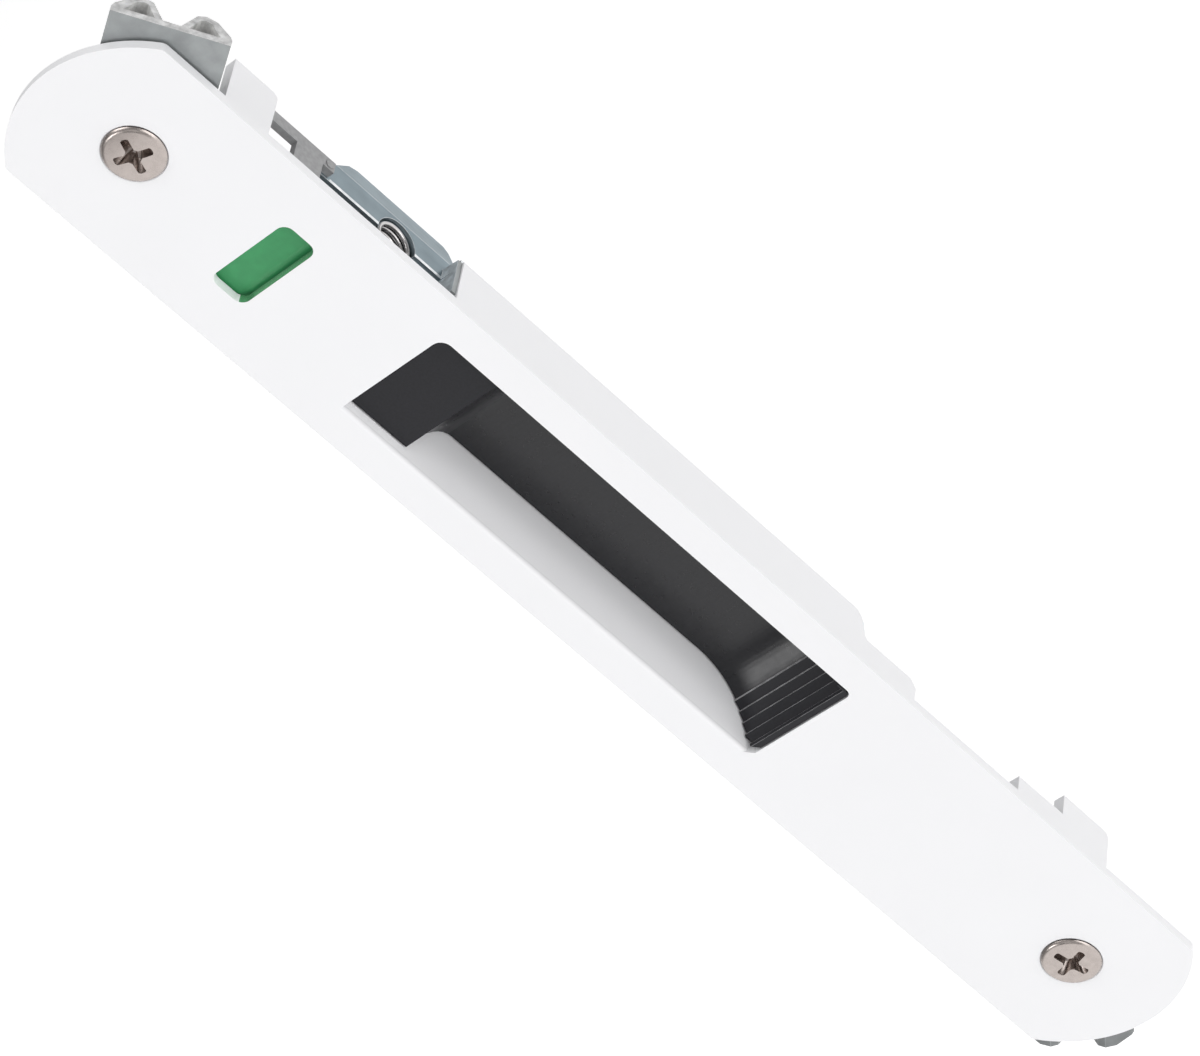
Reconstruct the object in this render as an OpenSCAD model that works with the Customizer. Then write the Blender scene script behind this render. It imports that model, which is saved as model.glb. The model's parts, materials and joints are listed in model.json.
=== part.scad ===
// Hook lock for a sliding door: a long face plate with a thumb slider that swings a hook out of its back
// X runs across the plate, Y into the door, Z up the door's edge
// The origin is the middle of the plate's seat face, half way between the two fixing screws

/* [Face plate] */
// Width of the face plate
plate_w = 26.2; // [25.6:0.1:30]
// Thickness of the face plate
plate_t = 1.3; // [1.2:0.05:1.6]
// Radius of the bowed ends of the plate
end_r = 16.9; // [15:0.1:24]
// Distance between the two fixing screws
screw_pitch = 160; // [159.6:0.1:170]
// Distance from a fixing screw to the plate's end
end_margin = 13.9; // [13:0.1:16]
// Height of the cast wall that stops the upper clip
block_h = 8.5; // [5:0.1:9]
// Height of the cast tab beside the lower clip
tab_h = 7.35; // [5:0.05:9]

/* [Finger opening] */
// Width of the opening for the thumb slider
open_w = 17; // [15.5:0.1:17.4]
// Upper end of the opening, above the origin
open_top = 39.6; // [39:0.1:39.8]
// Lower end of the opening, below the origin
open_low = 30; // [29:0.1:31]
// Lean of the finger wall from its top to its foot
dish_lean = 1.3; // [0.6:0.1:1.6]
// Thickness of the finger wall
dish_t = 1; // [0.8:0.05:1.1]

/* [Indicator] */
// Width of the indicator window
window_w = 12.6; // [9:0.2:13]
// Height of the indicator window
window_h = 5.2; // [4:0.1:5.4]
// Height of the window's middle above the origin
window_z = 59.9; // [59.4:0.1:60.1]

/* [Case] */
// Height of the case walls behind the plate
case_h = 8.15; // [8.1:0.05:8.4]
// Thickness of the case walls
case_t = 1.05; // [0.8:0.05:1.1]
// Upper end of the case, above the origin
case_top = 41.4; // [41.2:0.1:41.8]
// Lower end of the case, below the origin
case_low = 37; // [36:0.5:44]
// Thickness of the pressed back cover
cover_t = 0.9; // [0.6:0.05:1.1]

/* [Thumb slider] */
// Travel of the slider from open to locked
travel = 9; // [8:0.1:9]
// Radius of the ribbed end of the recess
rib_r = 12; // [11:0.1:12.4]
// Number of grip ribs
rib_count = 5; // [3:1:6]
// Height of each grip rib
rib_h = 0.28; // [0.15:0.01:0.4]
// Length of the pad that shows above the recess
pad_l = 9.7; // [9.5:0.1:12]

/* [Hook] */
// Distance of the hook's pivot behind the plate
pivot_y = 8.6; // [8.5:0.05:8.8]
// Height of the hook's pivot above the origin
pivot_z = 49.3; // [49.2:0.1:49.8]
// Distance from the pivot to the line of the drive pin
crank = 4.8; // [4.7:0.02:4.86]
// Thickness of the hook
hook_t = 4; // [3:0.1:4.2]
// Reach of the hook from its pivot
hook_reach = 21; // [17:0.5:22]
// Length of the hook's beak
beak_l = 3.9; // [2.5:0.1:4.2]
// Radius of the pivot pin
pivot_r = 1.5; // [1.2:0.05:1.6]
// Radius of the drive pin
drive_r = 1.25; // [1:0.05:1.3]

/* [Bracket] */
// Thickness of the bracket's sheet
sheet_t = 0.9; // [0.7:0.05:1]
// Distance across the bracket's flanges
bracket_w = 18.8; // [18.2:0.1:19]
// Distance of the bracket's back behind the plate
bracket_y = 13; // [12.8:0.1:13.4]

/* [Spring] */
// Diameter of the spring wire
wire_d = 0.6; // [0.5:0.05:0.65]
// Radius of the coil at the middle of the wire
coil_r = 2.3; // [1.8:0.05:2.35]
// Number of turns in the coil
coil_turns = 2.25; // [1.25:1:2.25]

/* [Clamp clips] */
// Width of a clamp clip
clip_w = 13.8; // [11:0.1:14]
// Reach of a clip from its screw
clip_reach = 17.2; // [14:0.1:18]
// Height of a clip's folded lobes
lobe_h = 3.8; // [2.8:0.1:4]
// Angle of the upper clip from the plate's length
upper_clip_a = 59.8; // [0:0.2:59.8]
// Angle of the lower clip from the plate's length
lower_clip_a = 38; // [0:1:56]

/* [Screws] */
// Radius of the fixing screws' thread
screw_r = 2; // [1.6:0.05:2.1]
// Radius of the fixing screws' heads
head_r = 3.8; // [3.4:0.1:4.2]
// Height of the screw heads in front of the plate
head_proud = 0.6; // [0.3:0.05:1]
// Length of the fixing screws behind the plate
screw_l = 13; // [9:0.5:20]

/* [Hidden] */
$fn = 48;
white = [0.95, 0.95, 0.96];
zinc = [0.62, 0.66, 0.68];
steel = [0.75, 0.75, 0.76];
black = [0.2, 0.2, 0.21];
grey = [0.6, 0.6, 0.6];
// gap between parts that slide past each other, and running clearance of a pin in its bore
gap = 0.25;
run = 0.05;
fit = 0.02;
// how far a cut passes the face that it opens
over = 1;
front = -plate_t;
plate_l = screw_pitch + 2 * end_margin;
corner_r = 1.2;
open_corner = 1.5;
low_corner = 0.9;
low_bevel = 1.3;
window_corner = 1.3;
// side walls: outside and inside
wall_x = plate_w / 2 - 1.05;
wall_in = wall_x - case_t;
// finger wall: a round over the edge of the opening, then a leaning wall
edge_round = 0.6;
open_x = open_w / 2;
lean = dish_lean / case_h;
dish_h = case_h - 0.3;
dish_top = open_top + 0.6;
// slider
slider_t = 1.2;
floor_y = case_h - slider_t - 2 * gap;
slider_back = floor_y + slider_t;
slider_x = wall_in - 1.1;
slider_side = open_x - 0.5;
lip_x = open_x - gap;
lip_y = front + 0.1;
slider_low = -open_low + 0.15;
pad_low = open_top - pad_l;
pad_y = gap + 1.65;
deep_top = pad_low + slider_t;
slider_top = open_top + 1.4;
ramp_l = 5.4;
rib_y = floor_y - rib_r;
rib_z = slider_low + 0.55 + sqrt(rib_r * rib_r - (lip_y - rib_y) * (lip_y - rib_y));
rib_a = 37;
rib_step = 28 / (rib_count - 1);
rib_edge = 0.8;
notch_r = 1.4;
notch_d = 0.6;
// drive pin and the fork that it turns
drive_y = pivot_y - crank;
drive_z = pivot_z - travel / 2;
swing = 2 * atan(travel / 2 / crank);
fork_r = crank / cos(swing / 2) + 0.32;
fork_depth = crank - drive_r - 0.3;
fork_slot = drive_r + 0.4;
fork_wall = 1.4;
// rails of the carrier, one each side of the hook
rail_in = hook_t / 2 + 0.7;
rail_out = rail_in + 1.4;
carrier_screw_x = 4.2;
rail_low = 36;
rail_y = 2;
rail_back = 4.8;
rail_top = drive_z + 2.6;
seat_w = 12;
seat_y = 3.1;
carrier_low = deep_top + 0.4;
carrier_top = slider_top - 0.2;
carrier_screw_z = 34;
// indicator: flags on a strip
flag_t = 0.6;
flag_y = gap + flag_t;
strip_y = flag_y + 0.5;
flag_h = window_h + 1.4;
flag_w = window_w + 1;
strip_w = flag_w + 0.8;
strip_low = slider_top + 0.2;
strip_top = window_z + flag_h / 2 + 0.4;
// bracket: flange, slanted facet, back, ears and feet
flange_x = bracket_w / 2;
flange_in = flange_x - sheet_t;
flange_y = 6.25;
crease_y = 9.7;
bracket_low = 40.4;
bracket_web = 42.4;
bracket_top = 62;
back_x = flange_x - 0.95;
back_in = bracket_y - sheet_t;
slot_x = hook_t / 2 + 0.7;
slot_low = 46;
ear_out = slot_x + sheet_t;
ear_r = 3;
pin_head = 0.5;
foot_in = slot_x + 0.2;
foot_low = case_top + 0.2;
foot_top = 46;
foot_y = case_h + cover_t;
foot_x = (foot_in + flange_in) / 2;
foot_z = (foot_low + foot_top) / 2;
lug_y = 5.8;
coil_y = flange_y + 0.1;
coil_z = 49.4;
coil_room = 0.3;
flare_l = 2.8;
flare_t = 0.7;
flare_x = wall_x - gap;
flare_y = pad_y + 0.5;
bridge_y = 5.1;
flange_gap = 0.15;
// small screws
small_r = 0.8;
small_head = 1.5;
small_head_t = 0.9;
small_cross = 1.9;
small_slot = 0.4;
cover_screw_l = 4;
bracket_screw_l = 4.6;
post_x = 7.5;
post_z = 3.2 - case_low;
post_r = 1.8;
post_rib = 0.6;
step_h = 4.45;
step_z = -27.1;
// stay bars beside the bracket
bar_in = flange_x;
bar_out = bar_in + 1;
bar_y = 6.6;
bar_back = 8.3;
bar_low = 60.5;
bar_top = screw_pitch / 2 - 3;
bar_foot_low = 62.2;
bar_foot_top = 66.3;
rivet_z = 61.3;
rivet_y = (bar_y + bar_back) / 2;
rivet_r = 0.4;
rivet_head = 0.12;
// walls cast on the plate, given for the end where the wall stands at +X
block_low = screw_pitch / 2 - 8.8;
block_top = screw_pitch / 2 - 2.1;
tab_low = 7.7 - screw_pitch / 2;
tab_top = tab_low + 8.4;
ledge_top = tab_top + 8.1;
ledge_h = 4;
wall_corner = 1;
// detent spring between the slider and the case
leaf_t = 0.3;
leaf_l = 28;
leaf_y = 3.2;
leaf_w = 2.6;
// clamp clips
clip_t = 0.9;
clip_y = 0.3;
clip_back = clip_w / 2;
shoulder_r = screw_r + 0.2;
shoulder_y = clip_y + lobe_h + 1.1;
cone_h = 1.05;
recess_w = 0.95;
recess_l = 4.4;

function ring(c, r, a0, a1, n) =
    [for (i = [0:n]) c + r * [cos(a0 + (a1 - a0) * i / n), sin(a0 + (a1 - a0) * i / n)]];

// Slab of a flat shape drawn in X and Z, from depth y0 to depth y1
module slab(y0, y1) {
    translate([0, y1, 0]) rotate([90, 0, 0]) linear_extrude(y1 - y0) children();
}

// Bar of a flat shape drawn in Z and Y, from x0 to x1
module across(x0, x1) {
    translate([x1, 0, 0]) rotate([0, -90, 0]) linear_extrude(x1 - x0) children();
}

module box(lo, hi) {
    translate(lo) cube(hi - lo);
}

module rod_x(x0, x1, y, z, r) {
    translate([x0, y, z]) rotate([0, 90, 0]) cylinder(r = r, h = x1 - x0);
}

// Round bar along Y, or a cone where the radii differ
module rod_y(x, z, y0, y1, r, r_end) {
    translate([x, y0, z]) rotate([-90, 0, 0]) cylinder(r1 = r, r2 = r_end, h = y1 - y0);
}

module round_rect(w, h, r) {
    polygon(concat(ring([w / 2 - r, h / 2 - r], r, 0, 90, 6), ring([r - w / 2, h / 2 - r], r, 90, 180, 6),
        ring([r - w / 2, r - h / 2], r, 180, 270, 6), ring([w / 2 - r, r - h / 2], r, 270, 360, 6)));
}

// Plate outline: straight sides, bowed ends and rounded corners between them
module plate_shape() {
    bow_z = plate_l / 2 - end_r;
    a = acos((plate_w / 2 - corner_r) / (end_r - corner_r));
    corner = [plate_w / 2 - corner_r, bow_z + (end_r - corner_r) * sin(a)];
    side = concat(ring(corner, corner_r, 0, a, 4), ring([0, bow_z], end_r, a, 90, 14));
    end = concat(side, [for (i = [len(side) - 2:-1:0]) [-side[i].x, side[i].y]]);
    polygon(concat(end, [for (p = end) -p]));
}

// Inner face of the finger wall at a depth
function dish_x(y) = -open_x + edge_round + lean * (y - front - edge_round);

// Section of the finger wall in X and Y
module dish_section() {
    lip = ring([-open_x, front + edge_round], edge_round, -90, 0, 6);
    foot = [[dish_x(dish_h), dish_h], [dish_x(dish_h) - dish_t, dish_h]];
    polygon(concat(lip, foot, [[-open_x - dish_t, -gap], [-open_x - dish_t, front]]));
}

// Wall cast on the plate's back, with a rounded corner at its lower end
module cast_wall(z0, z1, h) {
    across(bar_out, wall_x) polygon(concat([[z0, front / 2]],
        ring([z0 + wall_corner, h - wall_corner], wall_corner, 180, 90, 6),
        [[z1, h], [z1, front / 2]]));
}

// Opening for the slider: square beside the finger wall but for a bevel, and rounded on the other side
module opening_shape() {
    r = open_corner;
    polygon(concat([[-open_x, open_top], [-open_x, low_bevel - open_low], [low_bevel - open_x, -open_low]],
        ring([open_x - low_corner, low_corner - open_low], low_corner, -90, 0, 6),
            ring([open_x - r, open_top - r], r, 0, 90, 6)));
}

module face_plate() {
    color(white) union() {
        difference() {
            slab(front, 0) plate_shape();
            slab(front - over, over) opening_shape();
            translate([0, 0, window_z]) slab(front - over, over)
                round_rect(window_w, window_h, window_corner);
            for (z = [-screw_pitch / 2, screw_pitch / 2]) {
                rod_y(0, z, front - over, over, shoulder_r + 0.2, shoulder_r + 0.2);
                rod_y(0, z, front, front + cone_h, head_r + 0.15, head_r + 0.15 - cone_h);
            }
        }
        difference() {
            translate([0, 0, -open_low - dish_t]) linear_extrude(dish_top + open_low + dish_t)
                dish_section();
            across(-plate_w / 2, 0) difference() {
                translate([-case_low, 1]) square([case_low, case_h]);
                case_side(-0.3);
            }
        }
        for (turn = [0, 180]) {
            rotate([0, turn, 0]) cast_wall(block_low, block_top, block_h);
            rotate([0, turn, 0]) cast_wall(tab_low, tab_top, tab_h);
            rotate([0, turn, 0]) cast_wall(tab_top - wall_corner, ledge_top, ledge_h);
        }
    }
}

// Side of the case in Z and Y, grown by a thickness: level, then stepped down past the slider's round end
module case_side(t) {
    polygon([[case_top, 0], [case_top, case_h + t], [step_z + 1.2 - t / 2, case_h + t],
        [step_z + 0.2 - t, case_h - 0.8 + t / 2],
        [step_z - 0.2 - t, step_h + 1 + t], [step_z - 1 - t / 2, step_h + t], [1 - case_low, step_h + t],
        [-case_low, step_h - 1 + t], [-case_low, 0]]);
}

// Slots that the bracket's flanges stand in
module flange_slots() {
    for (s = [-1, 1]) translate([s * (flange_in + flange_x) / 2, 0, 0])
        box([-sheet_t / 2 - flange_gap, flange_y - flange_gap, bracket_low - flange_gap],
            [sheet_t / 2 + flange_gap, bracket_y, foot_top]);
}

module case() {
    lug = (flange_in - foot_in) / 2 - flange_gap;
    color(white) difference() {
        union() {
            difference() {
                across(-wall_x, wall_x) case_side(0);
                across(-wall_in, wall_in) difference() {
                    translate([case_t - case_low, -over]) square([case_low + case_top, case_h + 2 * over]);
                    translate([deep_top + travel + gap, bridge_y]) square([case_top, case_h]);
                }
            }
            for (s = [-1, 1]) {
                rod_y(s * post_x, post_z, 0, step_h, post_r, post_r);
                translate([s * (post_x + wall_in) / 2, 0, 0])
                    box([(post_x - wall_in) / 2 - 0.1, 0, post_z - post_rib],
                    [(wall_in - post_x) / 2 + 0.1, step_h, post_z + post_rib]);
                translate([s * foot_x, 0, 0])
                    box([-lug, bridge_y, case_top - 0.1], [lug, case_h, foot_top + 0.2]);
            }
        }
        for (s = [-1, 1]) {
            rod_y(s * post_x, post_z, over, case_h, small_r + fit, small_r + fit);
            rod_y(s * foot_x, foot_z, bridge_y - over, case_h + over, small_r + fit, small_r + fit);
        }
        box([-slot_x, bridge_y - over, case_top - 0.5], [slot_x, case_h + over, case_top + over]);
        flange_slots();
    }
}

module back_cover() {
    cover_x = wall_in + 0.4;
    lug = (flange_in - foot_in) / 2 - flange_gap;
    color(zinc) difference() {
        union() {
            across(-cover_x, cover_x) difference() {
                case_side(cover_t);
                case_side(0);
            }
            for (s = [-1, 1]) {
                translate([s * foot_x, 0, 0]) box([-lug, case_h, case_top - 0.1], [lug, foot_y, foot_top]);
            }
        }
        for (s = [-1, 1]) {
            rod_y(s * post_x, post_z, 0, case_h, small_r + 0.2, small_r + 0.2);
            rod_y(s * foot_x, foot_z, 0, foot_y + over, small_r + 0.2, small_r + 0.2);
        }
        flange_slots();
    }
}

// Small pan head screw pointing towards the plate, with its seat at depth y
module small_screw(x, y, z, length, slot_a) {
    difference() {
        union() {
            rod_y(x, z, y - length, y + 0.1, small_r, small_r);
            rod_y(x, z, y, y + small_head_t, small_head, small_head - 0.35);
        }
        for (a = [0, 90]) translate([x, y + small_head_t, z]) rotate([0, slot_a + a, 0])
            cube([small_cross, small_head_t, small_slot], center = true);
    }
}

module cover_screws() {
    color(steel) for (s = [-1, 1]) small_screw(s * post_x, step_h + cover_t, post_z, cover_screw_l, 20);
}

module bracket_screws() {
    color(steel) for (s = [-1, 1]) small_screw(s * foot_x, foot_y + sheet_t, foot_z, bracket_screw_l, 50);
}

// Boundary of the ribbed end of the recess, from the floor up: each rib is a sharp ridge on the round
function rib_point(a, r) = [rib_z - r * sin(a), rib_y + r * cos(a)];
rib_line = concat([for (i = [0:6]) rib_point(rib_a * i / 6.3, rib_r)],
    [for (i = [0:rib_count - 1], k = [0, 1])
        rib_point(rib_a + rib_step * i + k * rib_edge, rib_r - k * rib_h)]);

// Finger recess in Z and Y: a drop below the pad, a ramp, a level floor and the ribbed end
module recess_shape() {
    drop = gap + 0.4;
    polygon(concat([[slider_low + 0.6, front - over], [pad_low, front - over]],
        [for (i = [0:8]) [pad_low - ramp_l * i / 8,
            floor_y - (floor_y - drop) * (1 - i / 8) * (1 - i / 8)]], rib_line));
}

// Outside of the slider in Z and Y: pad, level back and round lower end
module slider_side_shape() {
    r = rib_r + slider_t - 0.15;
    polygon(concat([[slider_top, gap], [slider_top, pad_y], [deep_top, pad_y], [deep_top, slider_back]],
        [for (i = [0:14]) if (rib_y + r * cos(90 * i / 14) > 1) [max(slider_low,
            rib_z - r * sin(90 * i / 14)), rib_y + r * cos(90 * i / 14)]],
        [[slider_low, 1], [slider_low, gap]]));
}

// Section of the slider in X and Y, following the finger wall
module slider_section() {
    polygon([[dish_x(0) + gap, 0], [slider_x, 0], [slider_x, slider_back + over],
        [dish_x(slider_back + over) + gap, slider_back + over]]);
}

module thumb_slider() {
    lip_in = dish_x(over) + 2 * gap;
    lip_r = low_corner - 0.2;
    bevel = low_bevel - 0.3;
    color(black) difference() {
        union() {
            intersection() {
                across(-plate_w / 2, plate_w / 2) slider_side_shape();
                translate([0, 0, slider_low - over]) linear_extrude(slider_top + open_low + 2 * over)
                    slider_section();
            }
            // lip that closes the lower end of the opening, with one corner bevelled
            slab(lip_y, over) polygon(concat([[lip_in + bevel, slider_low]],
                ring([lip_x - lip_r, slider_low + lip_r], lip_r, -90, 0, 5),
                [[lip_x, slider_low + 2], [lip_in, slider_low + 2], [lip_in, slider_low + bevel]]));
        }
        across(-plate_w / 2, slider_side) recess_shape();
        // detent notches
        for (z = [0, -travel]) rod_y(slider_x + notch_r - notch_d, z, gap - over, slider_back + over,
            notch_r, notch_r);
        for (s = [-1, 1]) rod_y(s * carrier_screw_x, carrier_screw_z, gap + 0.4, pad_y + over,
            small_r + fit, small_r + fit);
    }
}

module slide_carrier() {
    color(grey) difference() {
        union() {
            box([-seat_w / 2, pad_y, carrier_low], [seat_w / 2, seat_y, carrier_top]);
            for (s = [-1, 1]) translate([s * (rail_in + rail_out) / 2, 0, 0])
                box([(rail_in - rail_out) / 2, rail_y, rail_low],
                    [(rail_out - rail_in) / 2, rail_back, rail_top]);
        }
        rod_x(-rail_out - over, rail_out + over, drive_y, drive_z, drive_r + fit);
        for (s = [-1, 1]) rod_y(s * carrier_screw_x, carrier_screw_z, 0, rail_back, small_r + 0.1,
            small_r + 0.1);
    }
}

module carrier_screws() {
    color(steel) for (s = [-1, 1])
        small_screw(s * carrier_screw_x, seat_y, carrier_screw_z, seat_y - gap - 0.5, 35);
}

module drive_pin() {
    color(steel) rod_x(-rail_out, rail_out, drive_y, drive_z, drive_r);
}

module indicator_strip() {
    color(grey) union() {
        translate([0, 0, (strip_low + strip_top) / 2]) slab(flag_y, strip_y)
            round_rect(strip_w, strip_top - strip_low, 1);
        // legs that hang from the carrier's rails
        for (s = [-1, 1]) translate([s * (rail_in + rail_out) / 2, 0, 0])
            box([(rail_in - rail_out) / 2, strip_y - 0.1, strip_low + 0.6],
                [(rail_out - rail_in) / 2, rail_y, rail_top - 0.4]);
    }
}

// Indicator flag: a wide facet and a narrow one that meet at a crease across the flag
module flag(z) {
    intersection() {
        translate([0, 0, z]) slab(0, flag_y) round_rect(flag_w, flag_h, 1);
        across(-plate_w / 2, plate_w / 2)
            polygon([[z - flag_h, flag_y], [z + flag_h, flag_y], [z + flag_h / 2, gap + 0.2],
            [z - flag_h * 0.22, gap], [z - flag_h / 2, gap + 0.35]]);
    }
}

module green_flag() {
    color([0.3, 0.62, 0.4]) flag(window_z);
}

module red_flag() {
    color([0.75, 0.1, 0.1]) flag(window_z - travel);
}

// Hook in Z and Y, measured from its pivot: arm, beak and the fork for the drive pin
module hook_shape() {
    w = 2.5;
    l = hook_reach;
    throat = 3.2;
    difference() {
        union() {
            circle(r = 4);
            polygon(concat([[0, w + 0.6], [-1, -w], [l * 0.55, -w]],
                ring([l - 4.4, 1.9 - w + 0.6], 4.4, -60, 0, 6),
                [[l, w + beak_l - 1]], ring([l - 0.9, w + beak_l - 0.9], 0.9, 0, 140, 5),
                ring([l - 3 - throat, w + throat], throat, 0, -90, 8)));
            rotate(180 - swing / 2) intersection() {
                translate([-fork_slot - fork_wall, 0]) square([2 * (fork_slot + fork_wall), fork_r + over]);
                circle(r = fork_r);
            }
        }
        rotate(180 - swing / 2) translate([-fork_slot, fork_depth]) square([2 * fork_slot, 2 * fork_r]);
        circle(r = pivot_r + run);
    }
}

module hook() {
    color(grey) translate([0, pivot_y, pivot_z]) across(-hook_t / 2, hook_t / 2) hook_shape();
}

// Section of one side of the bracket in X and Y: flange, slanted facet and back
module bracket_section() {
    polygon([[flange_x, flange_y], [flange_x, crease_y], [back_x, bracket_y], [slot_x, bracket_y],
        [slot_x, back_in],
        [back_x - 0.6, back_in], [flange_in, crease_y - 0.2], [flange_in, flange_y]]);
}

// Side of the bracket in Z and Y
module bracket_side() {
    polygon([[bracket_low, flange_y], [bracket_low, crease_y], [bracket_low + 0.6, crease_y + 1.6],
        [bracket_low + 1, bracket_y - 0.7],
        [bracket_low + 1.8, bracket_y], [bracket_top - 5.8, bracket_y],
            [bracket_top - 4.4, bracket_y - 0.6],
        [bracket_top - 2.2, crease_y], [bracket_top - 0.6, flange_y + 1.8], [bracket_top, flange_y]]);
}

// Foot that flares from the flange to the case wall and stands on the case's end
module bracket_flare() {
    translate([0, 0, case_top]) {
        slab(flange_y, case_h - 0.1) polygon([[flange_in + 0.1, 0], [flare_x, 0], [flare_x, flare_t],
            [flange_x, flare_l], [flange_in + 0.1, flare_l]]);
        slab(flare_y, flange_y + 0.1)
            polygon([[flange_in + 0.1, 0], [flare_x, 0], [flare_x, flare_t], [flange_in + 0.1, flare_t]]);
    }
}

module hook_bracket() {
    color(zinc) difference() {
        union() {
            intersection() {
                translate([0, 0, bracket_low]) linear_extrude(bracket_top - bracket_low) union() {
                    bracket_section();
                    mirror([1, 0]) bracket_section();
                }
                across(-flange_x, flange_x) bracket_side();
            }
            box([-slot_x - 0.1, back_in, bracket_web], [slot_x + 0.1, bracket_y, slot_low]);
            for (s = [-1, 1]) {
                translate([s * (slot_x + ear_out) / 2, 0, 0]) across(-sheet_t / 2, sheet_t / 2) union() {
                    translate([pivot_z, pivot_y]) circle(r = ear_r);
                    translate([pivot_z - ear_r, pivot_y]) square([2 * ear_r, bracket_y - pivot_y - 0.1]);
                }
                translate([s * foot_x, 0, 0])
                    box([foot_in - foot_x, foot_y, foot_low],
                    [foot_x - foot_in + 0.1, foot_y + sheet_t, foot_top]);
                translate([s * foot_x, 0, 0])
                    box([foot_in - foot_x - 0.1, foot_y, foot_low],
                    [foot_x - foot_in, foot_y + sheet_t, foot_top]);
            }
            for (side = [0, 1]) mirror([side, 0, 0]) bracket_flare();
        }
        rod_x(-ear_out - over, ear_out + over, pivot_y, pivot_z, pivot_r + fit);
        rod_x(flange_in - over, flange_x + over, coil_y, coil_z, coil_r + wire_d / 2 + coil_room);
        for (s = [-1, 1]) {
            rod_y(s * foot_x, foot_z, foot_y - over, foot_y + sheet_t + over, small_r + 0.2, small_r + 0.2);
        }
        rod_x(-flange_x - over, flange_x + over, rivet_y, rivet_z, rivet_r + fit);
    }
}

module pivot_pin() {
    color(steel) union() {
        rod_x(-ear_out - 0.1, ear_out + 0.1, pivot_y, pivot_z, pivot_r);
        for (s = [-1, 1]) translate([s * (ear_out + pin_head / 2), 0, 0])
            rod_x(-pin_head / 2, pin_head / 2, pivot_y, pivot_z, pivot_r + 0.5);
    }
}

// Centre line of the spring: a straight end, the coil and another straight end
coil_x0 = seat_w / 2 + wire_d / 2 + gap;
coil_x1 = flange_x - wire_d / 2;
coil_step = (coil_x1 - coil_x0) / coil_turns;
coil_a0 = 90;
ring_n = 8;
leg_l = 5.4;
function coil_point(t) = [coil_x0 + coil_step * t, coil_y + coil_r * cos(coil_a0 + 360 * t),
    coil_z + coil_r * sin(coil_a0 + 360 * t)];
function coil_way(t) = [coil_step, -2 * PI * coil_r * sin(coil_a0 + 360 * t),
    2 * PI * coil_r * cos(coil_a0 + 360 * t)] / norm([coil_step, 2 * PI * coil_r]);
coil_n = ceil(coil_turns * ring_n);
leg_way0 = [0, coil_way(0).y, coil_way(0).z];
leg_way1 = [0, coil_way(coil_turns).y, coil_way(coil_turns).z];
spring_line = concat([coil_point(0) - leg_l * leg_way0, coil_point(0) - wire_d * leg_way0],
    [for (i = [0:coil_n]) coil_point(coil_turns * i / coil_n)],
    [coil_point(coil_turns) + wire_d * leg_way1, coil_point(coil_turns) + leg_l * leg_way1]);

// Tube of six sides swept along a line, with one side of every ring turned the same way
module tube(line, r) {
    n = len(line);
    sides = 6;
    way = [for (i = [0:n - 1]) let (d = line[min(i + 1, n - 1)] - line[max(i - 1, 0)]) d / norm(d)];
    points = [for (i = [0:n - 1])
        let (u = cross(way[i], [1, 0, 0]), v = cross(way[i], u / norm(u)), w = cross(v, way[i]))
        for (k = [0:sides - 1]) line[i] + r * (cos(360 * k / sides) * v + sin(360 * k / sides) * w)];
    skin = [for (i = [0:n - 2], k = [0:sides - 1], h = [0, 1])
        let (a = i * sides + k, b = i * sides + (k + 1) % sides)
        h == 0 ? [a, a + sides, b + sides] : [a, b + sides, b]];
    caps = [for (k = [1:sides - 2], e = [0, 1])
        e == 0 ? [0, k, k + 1] : [(n - 1) * sides, (n - 1) * sides + k + 1, (n - 1) * sides + k]];
    polyhedron(points = points, faces = concat(skin, caps));
}

// Least gap between neighbouring turns of the coil
spring_gap = min([for (i = [0:coil_n - ring_n], k = [ring_n - 3:ring_n + 3]) if (i + k <= coil_n)
    norm(coil_point(coil_turns * (i + k) / coil_n) - coil_point(coil_turns * i / coil_n)) - wire_d]);
echo(spring_gap = spring_gap);

module torsion_spring() {
    color(steel) tube(spring_line, wire_d / 2);
}

module stay_bars() {
    color(grey) for (s = [-1, 1]) {
        translate([s * (bar_in + bar_out) / 2, 0, 0]) difference() {
            across((bar_in - bar_out) / 2, (bar_out - bar_in) / 2)
                polygon([[bar_low, bar_y], [bar_foot_low, bar_y],
                [bar_foot_low, 0], [bar_foot_top, 0], [bar_foot_top, bar_y], [bar_top, bar_y],
                    [bar_top, bar_back],
                [bar_low, bar_back]]);
            rod_x(-over, over, rivet_y, rivet_z, rivet_r + fit);
        }
    }
}

module stay_rivets() {
    color(steel) for (side = [0, 1]) mirror([side, 0, 0]) {
        rod_x(flange_in - rivet_head, bar_out + rivet_head / 2, rivet_y, rivet_z, rivet_r);
        rod_x(bar_out, bar_out + rivet_head, rivet_y, rivet_z, rivet_r + 0.2);
    }
}

// Leaf spring: flat ends against the case wall and a bump towards the slider's notches
module detent_spring() {
    x = wall_in;
    bump = x - slider_x - leaf_t - 0.15;
    outer = [[-0.5, 0], [-0.3, 0], [-0.08, bump], [0.08, bump], [0.3, 0], [0.5, 0]];
    color(steel) slab(leaf_y, leaf_y + leaf_w) polygon(concat([for (p = outer) [x - p.y, p.x * leaf_l]],
        [for (i = [5:-1:0]) [x - outer[i].y - leaf_t, outer[i].x * leaf_l]]));
}

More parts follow.
